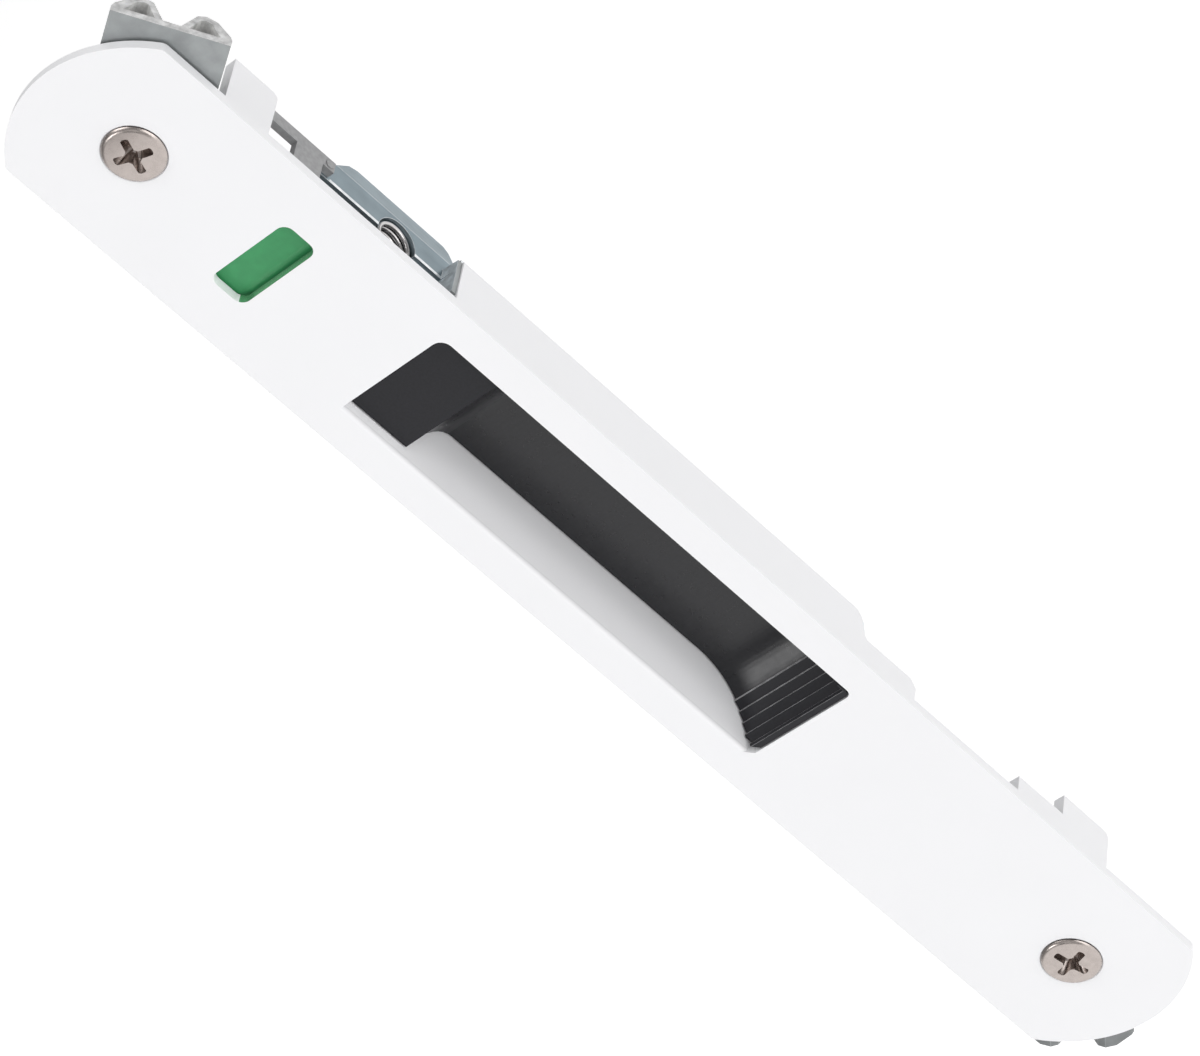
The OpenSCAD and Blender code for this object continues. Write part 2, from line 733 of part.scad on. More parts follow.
// Fixing screw: chamfered flat head with a cross recess, seated in the plate's cone
module face_screw(z, recess_a) {
    top = front - head_proud;
    difference() {
        union() {
            rod_y(0, z, top, top + 0.4, head_r - 0.4, head_r);
            rod_y(0, z, top + 0.4, front + 0.01, head_r, head_r);
            rod_y(0, z, front, front + cone_h - 0.06, head_r, head_r + 0.06 - cone_h);
            rod_y(0, z, front + cone_h - 0.1, shoulder_y, shoulder_r, shoulder_r);
            rod_y(0, z, shoulder_y - 0.1, screw_l - 0.8, screw_r, screw_r);
            rod_y(0, z, screw_l - 0.8, screw_l, screw_r, screw_r - 0.7);
        }
        for (a = [0, 90]) {
            translate([0, top + 0.5, z]) rotate([0, recess_a + a, 0])
                cube([recess_l, 2, recess_w], center = true);
        }
        rod_y(0, z, top + 1.45, top + 2, 0.9, 0.2);
    }
}

module face_screws() {
    color(zinc) face_screw(screw_pitch / 2, 17);
    color(zinc) face_screw(-screw_pitch / 2, 62);
}

// Clip section in X and Y: flat web, and both sides folded over into lobes that come down on it again
module clip_section() {
    w = clip_w / 2;
    h = lobe_h;
    t = clip_t;
    side = [[w, 0], [w, t], [w * 0.96, t + h * 0.16], [w * 0.7, h * 0.88], [w * 0.5, h],
        [w * 0.36, h * 0.9], [w * 0.15, t]];
    tunnel = [[w * 0.28, t], [w * 0.44, h - t], [w * 0.5, h - t * 0.85], [w * 0.62, h - t * 1.15],
        [w * 0.8, t]];
    difference() {
        polygon(concat(side, [for (i = [len(side) - 1:-1:0]) [-side[i].x, side[i].y]]));
        polygon(tunnel);
        mirror([1, 0]) polygon(tunnel);
    }
}

// Clamp clip on its screw, reaching along +Z: one end square, the other rounded about the screw
module clip() {
    difference() {
        intersection() {
            translate([0, 0, -clip_back]) linear_extrude(clip_reach + clip_back) clip_section();
            union() {
                rod_y(0, 0, -over, lobe_h + over, clip_back, clip_back);
                box([-clip_w, -over, 0], [clip_w, lobe_h + over, clip_reach + over]);
            }
        }
        rod_y(0, 0, -over, lobe_h + over, shoulder_r + run, shoulder_r + run);
    }
}

module upper_clip() {
    color(zinc) translate([0, clip_y, screw_pitch / 2]) rotate([0, upper_clip_a, 0]) clip();
}

module lower_clip() {
    color(zinc) translate([0, clip_y + lobe_h, -screw_pitch / 2]) rotate([0, 180 + lower_clip_a, 0])
        mirror([0, 1, 0]) clip();
}

face_plate();
case();
back_cover();
cover_screws();
thumb_slider();
slide_carrier();
carrier_screws();
drive_pin();
indicator_strip();
green_flag();
red_flag();
hook();
hook_bracket();
bracket_screws();
pivot_pin();
torsion_spring();
stay_bars();
stay_rivets();
detent_spring();
face_screws();
upper_clip();
lower_clip();
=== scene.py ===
"""Looks of a sliding door hook lock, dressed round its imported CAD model.

Most pieces are copies of a CAD node with rounded edges and a finish. The screws and the
coiled spring are made anew, because the CAD model holds them more plainly. Lengths are in
metres: X runs across the plate, Y into the door and Z up towards the indicator window.
"""

import json
import math

import bmesh
import bpy
import numpy as np
from mathutils import Matrix, Vector
from mathutils.bvhtree import BVHTree


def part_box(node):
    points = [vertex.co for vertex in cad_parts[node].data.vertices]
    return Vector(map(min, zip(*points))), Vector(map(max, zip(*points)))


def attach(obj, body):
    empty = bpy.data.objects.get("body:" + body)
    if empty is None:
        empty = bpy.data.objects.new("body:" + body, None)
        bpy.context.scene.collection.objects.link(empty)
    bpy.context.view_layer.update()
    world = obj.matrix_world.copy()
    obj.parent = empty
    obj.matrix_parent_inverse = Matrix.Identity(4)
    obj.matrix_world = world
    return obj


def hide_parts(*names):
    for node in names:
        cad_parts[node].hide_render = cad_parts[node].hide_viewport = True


bl_info = {
    "name": "Sliding door hook lock",
    "version": (1, 0, 0),
    "blender": (4, 5, 0),
    "location": "View3D > Sidebar > Lock",
    "description": "Dresses the packed hook lock with rounded edges, screws, springs and finishes",
    "category": "Object",
}

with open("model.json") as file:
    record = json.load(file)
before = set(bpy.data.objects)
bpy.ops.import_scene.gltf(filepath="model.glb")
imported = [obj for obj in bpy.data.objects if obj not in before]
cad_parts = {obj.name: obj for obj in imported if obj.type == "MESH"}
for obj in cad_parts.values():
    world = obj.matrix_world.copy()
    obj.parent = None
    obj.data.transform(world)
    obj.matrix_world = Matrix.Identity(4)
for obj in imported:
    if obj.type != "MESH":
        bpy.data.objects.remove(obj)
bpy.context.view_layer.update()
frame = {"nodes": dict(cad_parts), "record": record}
MM = 0.001

# Stage: the floor glows a little, so that it is white behind the lock.
FLOOR_HALF = 3.0
FLOOR_GLOW = 0.49
SKY_STRENGTH = 0.28
LIGHTS = (  # name, place, width, power in watts; each one faces the lock
    ("key_light", (0.25, -1.45, 0.6), 0.8, 1.1),
    ("gloss_light", (-0.916, -1.373, 0.7), 0.5, 5.0),
    ("fill_light", (1.3, -0.75, 0.2), 1.0, 6.9),
    ("top_light", (0.0, -0.3, 1.5), 1.0, 10),
    ("back_light", (0.3, 1.4, 0.9), 1.2, 4.8),
)
# The camera's own axes, from the photograph's perspective.
CAMERA_RIGHT = (0.7157, 0.1187, -0.6882)
CAMERA_UP = (0.4626, 0.6577, 0.5945)
CAMERA_BACK = (0.5232, -0.7439, 0.4158)
SENSOR_WIDTH_MM = 36
CAMERA_SEES = (0.01, 20)

# Clean-up of a CAD node's loose triangles, before its edges are rounded.
SAME_POINT = 0.001 * MM
FLAT_ANGLE = math.radians(0.8)
# Edges sharper than this many degrees stay creased, unless a piece has its own limit.
CREASE = 35


# ---------------------------------------------------------------- settings

class LockFinish(bpy.types.PropertyGroup):
    """Colours of the finishes."""

    coat: bpy.props.FloatVectorProperty(
        name="Powder coat", description="Colour of the plate and case",
        subtype="COLOR", size=3, min=0, max=1, default=(0.86, 0.86, 0.875))
    slider: bpy.props.FloatVectorProperty(
        name="Slider", description="Colour of the thumb slider",
        subtype="COLOR", size=3, min=0, max=1, default=(0.0125, 0.0125, 0.0158))
    locked: bpy.props.FloatVectorProperty(
        name="Locked flag", description="Colour of the flag that shows after the slider has moved",
        subtype="COLOR", size=3, min=0, max=1, default=(0.62, 0.03, 0.025))
    unlocked: bpy.props.FloatVectorProperty(
        name="Unlocked flag", description="Colour of the flag that shows at rest",
        subtype="COLOR", size=3, min=0, max=1, default=(0.05, 0.3, 0.115))
    zinc: bpy.props.FloatVectorProperty(
        name="Zinc plating", description="Colour of the plated sheet pieces",
        subtype="COLOR", size=3, min=0, max=1, default=(0.26, 0.315, 0.345))
    clip: bpy.props.FloatVectorProperty(
        name="Clip plating", description="Colour of the clamp clips",
        subtype="COLOR", size=3, min=0, max=1, default=(0.345, 0.362, 0.366))
    casting: bpy.props.FloatVectorProperty(
        name="Casting", description="Colour of the bare castings",
        subtype="COLOR", size=3, min=0, max=1, default=(0.35, 0.35, 0.355))
    nickel: bpy.props.FloatVectorProperty(
        name="Nickel plating", description="Colour of the fixing screws",
        subtype="COLOR", size=3, min=0, max=1, default=(0.46, 0.41, 0.385))


class LockEdges(bpy.types.PropertyGroup):
    """Sizes of the rounded edges, of the bracket's band painted as a highlight and of its flare.
    """

    coat: bpy.props.FloatProperty(
        name="Coated edge", description="Round on the coated castings' edges",
        unit="LENGTH", subtype="DISTANCE", min=0.0001, max=0.0006, default=0.0003)
    sheet: bpy.props.FloatProperty(
        name="Sheet edge", description="Round on the edges of sheet pieces and bare castings",
        unit="LENGTH", subtype="DISTANCE", min=0.00005, max=0.0004, default=0.00016)
    plastic: bpy.props.FloatProperty(
        name="Slider edge", description="Round on the slider's edges",
        unit="LENGTH", subtype="DISTANCE", min=0.00005, max=0.0004, default=0.00014)
    # Width of the band along each of the bracket's side walls that is painted near white as a
    # painted highlight.
    hem: bpy.props.FloatProperty(
        name="Hem", description="Width of the bright hem along the bracket's side walls",
        unit="LENGTH", subtype="DISTANCE", min=0.0001, max=0.001, default=0.00042)
    flare: bpy.props.FloatProperty(
        name="Flare", description="Length over which the bracket's foot turns outwards",
        unit="LENGTH", subtype="DISTANCE", min=0.0005, max=0.0028, default=0.0008)


class LockThread(bpy.types.PropertyGroup):
    """Sizes of the fixing screws' thread, head and cross recess."""

    pitch: bpy.props.FloatProperty(
        name="Pitch", description="Distance between turns of the thread",
        unit="LENGTH", subtype="DISTANCE", min=0.0005, max=0.001, default=0.0007)
    depth: bpy.props.FloatProperty(
        name="Depth", description="Depth of the thread's grooves",
        unit="LENGTH", subtype="DISTANCE", min=0.0002, max=0.0006, default=0.00038)
    dome: bpy.props.FloatProperty(
        name="Dome", description="Drop of the head's face from its middle to its rim",
        unit="LENGTH", subtype="DISTANCE", min=0, max=0.0005, default=0.0002)
    arm: bpy.props.FloatProperty(
        name="Recess arm", description="Reach of each arm of the cross recess",
        unit="LENGTH", subtype="DISTANCE", min=0.0015, max=0.0028, default=0.0024)
    arm_width: bpy.props.FloatProperty(
        name="Arm width", description="Width of the cross recess's arms",
        unit="LENGTH", subtype="DISTANCE", min=0.0006, max=0.0014, default=0.00095)


class LockSpring(bpy.types.PropertyGroup):
    """Form of the coiled spring."""

    wire: bpy.props.FloatProperty(
        name="Wire", description="Diameter of the wire",
        unit="LENGTH", subtype="DISTANCE", min=0.0003, max=0.001, default=0.00064)
    radius: bpy.props.FloatProperty(
        name="Coil radius", description="Radius of the coil at the middle of the wire",
        unit="LENGTH", subtype="DISTANCE", min=0.001, max=0.004, default=0.0025)
    turns: bpy.props.FloatProperty(
        name="Turns", description="Number of turns between the straight ends",
        min=1, max=12, default=3.25)
    leg: bpy.props.FloatProperty(
        name="Leg", description="Length of the straight ends",
        unit="LENGTH", subtype="DISTANCE", min=0.001, max=0.01, default=0.0054)


class LockCamera(bpy.types.PropertyGroup):
    """Camera and floor."""

    place: bpy.props.FloatVectorProperty(
        name="Camera place", description="Where the camera stands",
        unit="LENGTH", subtype="XYZ", size=3, default=(0.3285, -0.4642, 0.2665))
    lens: bpy.props.FloatProperty(
        name="Lens", description="Focal length on a 36 mm sensor, in millimetres",
        min=50, max=300, default=160.17)
    floor: bpy.props.FloatProperty(
        name="Floor height", description="Height of the floor",
        unit="LENGTH", subtype="DISTANCE", default=-0.25)


# ---------------------------------------------------------------- material nodes

def shader(name, colour, metallic=0.0, specular=0.5):
    """New node material with a plain colour, and its Principled shader."""
    made = bpy.data.materials.new(name)
    made.use_nodes = True
    core = made.node_tree.nodes["Principled BSDF"]
    core.inputs["Base Color"].default_value = (*colour, 1)
    core.inputs["Metallic"].default_value = metallic
    core.inputs["Specular IOR Level"].default_value = specular
    return made, core


def node(made, kind, **values):
    """New node in a material, with its input values set by name."""
    n = made.node_tree.nodes.new(kind)
    for key, value in values.items():
        n.inputs[key.replace("_", " ")].default_value = value
    return n


def place_coordinates(made, stretch=(1, 1, 1)):
    """Object coordinates, stretched along each axis."""
    where = node(made, "ShaderNodeTexCoord")
    mapping = node(made, "ShaderNodeMapping", Scale=stretch)
    made.node_tree.links.new(where.outputs["Object"], mapping.inputs["Vector"])
    return mapping.outputs["Vector"]


def grain(made, scale, detail=3, stretch=(1, 1, 1)):
    """Noise on Object coordinates."""
    n = node(made, "ShaderNodeTexNoise", Scale=scale, Detail=detail)
    made.node_tree.links.new(place_coordinates(made, stretch), n.inputs["Vector"])
    return n.outputs["Fac"]


def tint(made, core, source, dark, light, band=(0.3, 0.7)):
    """Colour that goes from dark to light while the source goes through its band."""
    r = node(made, "ShaderNodeValToRGB")
    for stop, place, colour in zip(r.color_ramp.elements, band, (dark, light)):
        stop.position = place
        stop.color = (*colour, 1)
    made.node_tree.links.new(source, r.inputs["Fac"])
    made.node_tree.links.new(r.outputs["Color"], core.inputs["Base Color"])


def polish(made, core, source, smooth, rough):
    """Roughness that follows a source, from smooth at 0 to rough at 1."""
    m = node(made, "ShaderNodeMapRange", To_Min=smooth, To_Max=rough)
    made.node_tree.links.new(source, m.inputs["Value"])
    made.node_tree.links.new(m.outputs["Result"], core.inputs["Roughness"])


def bump(made, core, source, strength, distance):
    """Fine relief from a source."""
    b = node(made, "ShaderNodeBump", Strength=strength, Distance=distance)
    made.node_tree.links.new(source, b.inputs["Height"])
    made.node_tree.links.new(b.outputs["Normal"], core.inputs["Normal"])


def shade(colour, factor):
    """Colour made lighter or darker."""
    return tuple(min(1.0, c * factor) for c in colour)


# ---------------------------------------------------------------- finishes

def powder_coat(name, colour):
    """Satin powder coat, with a fine orange peel."""
    made, core = shader(name, colour)
    fine = grain(made, 2600)
    tint(made, core, grain(made, 60, 2), shade(colour, 0.985), colour)
    polish(made, core, fine, 0.36, 0.5)
    bump(made, core, fine, 0.12, 0.03 * MM)


def sill_gloss(name):
    """Polished lower wall of the window, in which the flag is mirrored; its green tint adds a
    painted green reflection to the mirror's real one.
    """
    made, core = shader(name, (0.84, 0.93, 0.84), metallic=0.95)
    polish(made, core, grain(made, 1200), 0.12, 0.24)


def slider_plastic(name, colour):
    """Grained plastic of the pad and the grip."""
    made, core = shader(name, colour, specular=0.28)
    fine = grain(made, 3200, 4)
    tint(made, core, fine, shade(colour, 0.85), shade(colour, 1.2), (0.35, 0.7))
    polish(made, core, fine, 0.42, 0.62)
    bump(made, core, fine, 0.25, 0.04 * MM)


def slider_gloss(name, colour):
    """Smoother plastic of the recess's floor, with the faint tool marks of its mould, and a colour
    darker than the slider's as painted shade of the recess.
    """
    made, core = shader(name, colour, specular=0.43)
    marks = node(made, "ShaderNodeTexWave", Scale=520, Distortion=3.0, Detail=2.0)
    marks.bands_direction = "Z"
    made.node_tree.links.new(place_coordinates(made), marks.inputs["Vector"])
    fine = grain(made, 1500)
    tint(made, core, fine, shade(colour, 0.66), shade(colour, 0.86))
    polish(made, core, fine, 0.24, 0.34)
    bump(made, core, marks.outputs["Fac"], 0.12, 0.02 * MM)


def flag_plastic(name, colour):
    """Coloured plastic of the flags."""
    made, core = shader(name, colour, specular=0.3)
    fine = grain(made, 900)
    tint(made, core, fine, shade(colour, 0.93), shade(colour, 1.05))
    polish(made, core, fine, 0.27, 0.4)


def uneven_between(name, dark, light, scale, smooth, rough, metallic=0.0):
    """Surface whose colour and roughness go unevenly between a dark and a light colour."""
    made, core = shader(name, light, metallic)
    mottle = grain(made, scale)
    tint(made, core, mottle, dark, light)
    polish(made, core, mottle, smooth, rough)


def zinc_plate(name, colour):
    """Bluish plating of the bracket and the cover, with the sheet's rolling lines along Z."""
    made, core = shader(name, colour, metallic=1.0)
    lines = grain(made, 900, 2, (1, 1, 0.08))
    tint(made, core, grain(made, 260), shade(colour, 0.88), shade(colour, 1.12), (0.25, 0.75))
    polish(made, core, lines, 0.32, 0.52)
    bump(made, core, lines, 0.08, 0.02 * MM)


def clip_zinc(name, colour):
    """Duller, clouded plating of the clamp clips."""
    made, core = shader(name, colour, metallic=0.6)
    spots = grain(made, 1500)
    tint(made, core, grain(made, 340, 4), shade(colour, 0.84), shade(colour, 1.14))
    polish(made, core, spots, 0.36, 0.56)
    bump(made, core, spots, 0.12, 0.03 * MM)


def dull_zinc(name, colour):
    """Dull plating, paler than the clips' plating: on the upper clip's cut ends and rounded edges,
    partly as a painted highlight; on the insides of the clips' lobes, as painted light in their
    shade; and on the upward faces of the bracket's foot, as painted light.
    """
    made, core = shader(name, colour, metallic=0.3)
    spots = grain(made, 1100, 4)
    tint(made, core, spots, shade(colour, 0.7), shade(colour, 1.25))
    polish(made, core, spots, 0.42, 0.6)


def bare_casting(name, colour):
    """Matte grey casting."""
    made, core = shader(name, colour, metallic=0.35)
    fine = grain(made, 1800, 5)
    tint(made, core, fine, shade(colour, 0.85), shade(colour, 1.15), (0.25, 0.75))
    polish(made, core, fine, 0.48, 0.66)
    bump(made, core, fine, 0.2, 0.04 * MM)


def spring_steel(name):
    """Drawn wire and spring strip."""
    made, core = shader(name, (0.56, 0.545, 0.54), metallic=1.0)
    polish(made, core, grain(made, 1500, 2, (0.15, 1, 1)), 0.18, 0.32)


def screw_nickel(name, colour):
    """Satin nickel plating of the fixing screws."""
    made, core = shader(name, colour, metallic=1.0)
    fine = grain(made, 1300)
    tint(made, core, fine, shade(colour, 0.92), shade(colour, 1.06))
    polish(made, core, fine, 0.2, 0.36)


def rib_edge(name):
    """Painted highlight: slider plastic painted pale along the edges of the grip ribs."""
    uneven_between(name, (0.18, 0.18, 0.185), (0.46, 0.46, 0.47), 700, 0.28, 0.45)


def zinc_edge(name):
    """Cut edges, rounded edges and side-wall bands of the plated sheet, painted near white:
    painted highlights, partly also the paler bare metal of the cut edges.
    """
    uneven_between(name, (0.62, 0.65, 0.67), (0.9, 0.91, 0.92), 900, 0.24, 0.42, metallic=1.0)


def bright_zinc(name):
    """Bright plating of the small screws, the pins and the indicator strip."""
    uneven_between(name, (0.58, 0.59, 0.59), (0.7, 0.71, 0.71), 700, 0.24, 0.4, metallic=1.0)


def material(name):
    """Material by name, made on first use."""
    own = bpy.context.scene.lock_finish
    recipes = {
        "powder_coat": (powder_coat, own.coat),
        # Coat made 1.13 times paler for the finger wall and the window walls: painted light where
        # they lie in shade.
        "wall_coat": (powder_coat, shade(own.coat, 1.13)),
        # Green-tinted mirror on the window's sill: a real reflection of the flag, with a painted
        # green reflection in its tint.
        "sill_gloss": (sill_gloss,),
        "slider_plastic": (slider_plastic, own.slider),
        # Darker than the rest of the slider: painted shade in its recess.
        "slider_gloss": (slider_gloss, own.slider),
        # Pale edges of the grip ribs: painted highlight.
        "rib_edge": (rib_edge,),
        "flag_green": (flag_plastic, own.unlocked),
        "flag_red": (flag_plastic, own.locked),
        "zinc_plate": (zinc_plate, own.zinc),
        # Near-white edges and side-wall bands of the plated sheet: painted highlights.
        "zinc_edge": (zinc_edge,),
        "clip_zinc": (clip_zinc, own.clip),
        # The clip plating at 0.58 of its brightness, for the lower clip: painted shade.
        "clip_worn": (clip_zinc, shade(own.clip, 0.58)),
        # Pale cut ends and rounded edges of the upper clip: partly a painted highlight.
        "clip_edge": (dull_zinc, (0.66, 0.66, 0.66)),
        # Paler plating for the insides of the clips' lobes: painted light where they lie in shade.
        "clip_inside": (dull_zinc, (0.74, 0.74, 0.73)),
        # Paler, duller plating for the upward faces of the bracket's foot: painted light.
        "foot_zinc": (dull_zinc, (0.52, 0.57, 0.6)),
        "bare_casting": (bare_casting, own.casting),
        "spring_steel": (spring_steel,),
        "bright_zinc": (bright_zinc,),
        "screw_nickel": (screw_nickel, own.nickel),
    }
    if name not in bpy.data.materials:
        recipe, *colour = recipes[name]
        recipe(name, *colour)
    return bpy.data.materials[name]


# ---------------------------------------------------------------- mesh tools

def new_object(name, data):
    """New object at the origin, in the scene."""
    obj = bpy.data.objects.new(name, data)
    bpy.context.scene.collection.objects.link(obj)
    return obj


def apply_modifiers(obj):
    """The modified shape becomes the object's own plain mesh."""
    bpy.context.view_layer.update()
    seen = obj.evaluated_get(bpy.context.evaluated_depsgraph_get())
    mesh = bpy.data.meshes.new_from_object(seen)
    old = obj.data
    obj.modifiers.clear()
    obj.data = mesh
    bpy.data.meshes.remove(old)


def sharp_by_angle(mesh, degrees=CREASE):
    """Smooth shading with creases kept above an angle."""
    mesh.shade_smooth()
    mesh.set_sharp_from_angle(angle=math.radians(degrees))


def finish_piece(obj, node_name):
    """The piece rides with the CAD node's body and stands for it."""
    bodies = frame["record"]["behaviour"]["bodies"]
    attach(obj, next(body for body, nodes in bodies.items() if node_name in nodes))
    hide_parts(node_name)


def dress(node_name, finish, width, edge_finish=None, segments=2, angle=28, reshape=None):
    """Copy of a CAD node in the node's place, with a finish and rounded edges.

    Edges sharper than the angle get a round of the width, which may have a finish of its
    own. A change of shape, if one is given, comes before the edges are rounded."""
    mesh = frame["nodes"][node_name].data.copy()
    bm = bmesh.new()
    bm.from_mesh(mesh)
    bmesh.ops.remove_doubles(bm, verts=bm.verts, dist=SAME_POINT)
    bmesh.ops.dissolve_limit(bm, angle_limit=FLAT_ANGLE, verts=bm.verts, edges=bm.edges)
    if reshape:
        reshape(bm)
    bm.to_mesh(mesh)
    bm.free()
    mesh.materials.clear()
    mesh.materials.append(material(finish))
    if edge_finish:
        mesh.materials.append(material(edge_finish))
    obj = new_object("look_" + node_name, mesh)
    rounds = obj.modifiers.new("Rounded edges", "BEVEL")
    rounds.width = width
    rounds.segments = segments
    rounds.limit_method = "ANGLE"
    rounds.angle_limit = math.radians(angle)
    rounds.material = 1 if edge_finish else -1
    apply_modifiers(obj)
    sharp_by_angle(obj.data)
    flat = obj.modifiers.new("Flat faces stay flat", "WEIGHTED_NORMAL")
    flat.keep_sharp = True
    apply_modifiers(obj)
    finish_piece(obj, node_name)
    return obj


def add_finishes(obj, *names):
    """More material slots, after those that the piece has."""
    for name in names:
        obj.data.materials.append(material(name))


def closed_rings(name, rings):
    """Closed mesh through a stack of rings with the same number of points each."""
    count, sides = len(rings), len(rings[0])
    faces = [(i * sides + k, i * sides + (k + 1) % sides,
              (i + 1) * sides + (k + 1) % sides, (i + 1) * sides + k)
             for i in range(count - 1) for k in range(sides)]
    faces += [tuple(reversed(range(sides))), tuple(range((count - 1) * sides, count * sides))]
    mesh = bpy.data.meshes.new(name)
    mesh.from_pydata([point for ring in rings for point in ring], [], faces)
    bm = bmesh.new()
    bm.from_mesh(mesh)
    bmesh.ops.recalc_face_normals(bm, faces=bm.faces)
    bm.to_mesh(mesh)
    bm.free()
    return mesh


def turned(name, rows, sides, pitch=1.0, depth=0.0, slope=2.7):
    """Round body about +Y from rows of place along Y, radius and share of the thread's depth.

    The groove is a right-handed helix, cut where a row's share is above nothing. A steeper
    slope of its flanks leaves a wider floor between them."""
    along, radius, share = (np.array(column)[:, None] for column in zip(*rows))
    turn = np.linspace(0, 2 * math.pi, sides, endpoint=False)[None, :]
    phase = (along / pitch - turn / (2 * math.pi)) % 1
    groove = np.clip(slope / 2 - slope * np.abs(phase - 0.5), 0, 1)
    radius = radius - share * depth * groove
    points = np.stack((radius * np.sin(turn), along + 0 * turn, radius * np.cos(turn)), axis=-1)
    return closed_rings(name, points.tolist())


def cross_recess(obj, deep, arm, width):
    """Cuts a tapered cross recess into a head whose face looks towards -Y at the origin."""
    def cross(y, reach, half, hub):
        """Ring at depth y, of four arms with rounded ends about a hub."""
        end = reach - half * 0.35
        quarter = [(hub, -half), (end, -half), (reach, -half * 0.5),
                   (reach, half * 0.5), (end, half), (hub, half)]
        return [(x * c - z * s, y, x * s + z * c)
                for c, s in ((1, 0), (0, 1), (-1, 0), (0, -1)) for x, z in quarter]
    lip = width * 0.1
    # Share of the depth, reach of the arms, half width of an arm and half width of the hub.
    levels = ((-0.1, arm + lip, width * 0.5 + lip, width * 0.86 + lip),
              (0.1, arm, width * 0.5, width * 0.86),
              (0.55, arm * 0.78, width * 0.42, width * 0.8),
              (0.85, arm * 0.58, width * 0.36, width * 0.64),
              (1.0, arm * 0.2, width * 0.14, width * 0.16))
    mesh = closed_rings("recess_cutter", [cross(deep * share, *form) for share, *form in levels])
    cutter = new_object("recess_cutter", mesh)
    cut = obj.modifiers.new("Recess", "BOOLEAN")
    cut.object = cutter
    cut.operation = "DIFFERENCE"
    cut.solver = "EXACT"
    apply_modifiers(obj)
    bpy.data.objects.remove(cutter)
    bpy.data.meshes.remove(mesh)


def screw_pattern(rows, recess, sides, creases=CREASE, **thread):
    """One screw from its rows, its head's face at the origin and its shank along +Y."""
    obj = new_object("screw_pattern", turned("screw_pattern", rows, sides, **thread))
    cross_recess(obj, *recess)
    sharp_by_angle(obj.data, creases)
    return obj


def halves(node_name):
    """Lowest and highest corners of a CAD node's pieces on each side of the middle.

    The sides are told apart along X, or along Z where the node reaches further that way."""
    points = np.array([v.co[:] for v in frame["nodes"][node_name].data.vertices])
    axis = 0 if np.ptp(points[:, 0]) > np.ptp(points[:, 2]) else 2
    both = (points[points[:, axis] < 0], points[points[:, axis] > 0])
    return [(half.min(axis=0), half.max(axis=0)) for half in both]


# ---------------------------------------------------------------- node groups

def start_group(name, *inputs):
    """New node group that takes a geometry, the given inputs and a finish."""
    tree = bpy.data.node_groups.new(name, "GeometryNodeTree")
    new_socket = tree.interface.new_socket
    for label, kind, value in (("Geometry", "NodeSocketGeometry", None), *inputs,
                               ("Finish", "NodeSocketMaterial", None)):
        socket = new_socket(label, in_out="INPUT", socket_type=kind)
        if value is not None:
            socket.default_value = value
    new_socket("Geometry", in_out="OUTPUT", socket_type="NodeSocketGeometry")
    return tree, tree.nodes.new("NodeGroupInput")


def end_group(tree, given, made):
    """Makes the group's result real geometry with the given finish."""
    add, link = tree.nodes.new, tree.links.new
    real, finish = add("GeometryNodeRealizeInstances"), add("GeometryNodeSetMaterial")
    link(made, real.inputs["Geometry"])
    link(real.outputs["Geometry"], finish.inputs["Geometry"])
    link(given.outputs["Finish"], finish.inputs["Material"])
    link(finish.outputs["Geometry"], add("NodeGroupOutput").inputs["Geometry"])
    return tree


def repeat_group(name):
    """Node group that sets one piece on every point, turned by the point's own angles."""
    tree, given = start_group(name, ("Piece", "NodeSocketObject", None),
                              ("Size", "NodeSocketFloat", 1.0))
    add, link = tree.nodes.new, tree.links.new
    info, place = add("GeometryNodeObjectInfo"), add("GeometryNodeInstanceOnPoints")
    angles = add("GeometryNodeInputNamedAttribute")
    angles.data_type = "FLOAT_VECTOR"
    angles.inputs["Name"].default_value = "turn"
    link(given.outputs["Piece"], info.inputs["Object"])
    link(given.outputs["Geometry"], place.inputs["Points"])
    link(info.outputs["Geometry"], place.inputs["Instance"])
    link(angles.outputs["Attribute"], place.inputs["Rotation"])
    link(given.outputs["Size"], place.inputs["Scale"])
    return end_group(tree, given, place.outputs["Instances"])


def wire_group(name):
    """Node group that sweeps a round wire along a line of edges."""
    tree, given = start_group(name, ("Wire radius", "NodeSocketFloat", 0.3 * MM),
                              ("Sides", "NodeSocketInt", 12))
    add, link = tree.nodes.new, tree.links.new
    line, section = add("GeometryNodeMeshToCurve"), add("GeometryNodeCurvePrimitiveCircle")
    sweep = add("GeometryNodeCurveToMesh")
    sweep.inputs["Fill Caps"].default_value = True
    link(given.outputs["Geometry"], line.inputs["Mesh"])
    link(given.outputs["Wire radius"], section.inputs["Radius"])
    link(given.outputs["Sides"], section.inputs["Resolution"])
    link(line.outputs["Curve"], sweep.inputs["Curve"])
    link(section.outputs["Curve"], sweep.inputs["Profile Curve"])
    return end_group(tree, given, sweep.outputs["Mesh"])


def grow(obj, group_name, build, values):
    """Runs a node group on an object and keeps the result as its plain mesh.

    Each input is found by its name and set by its identifier."""
    step = obj.modifiers.new(group_name, "NODES")
    step.node_group = bpy.data.node_groups.get(group_name) or build(group_name)
    for item in step.node_group.interface.items_tree:
        if item.in_out == "INPUT" and item.name in values:
            step[item.identifier] = values[item.name]
    apply_modifiers(obj)


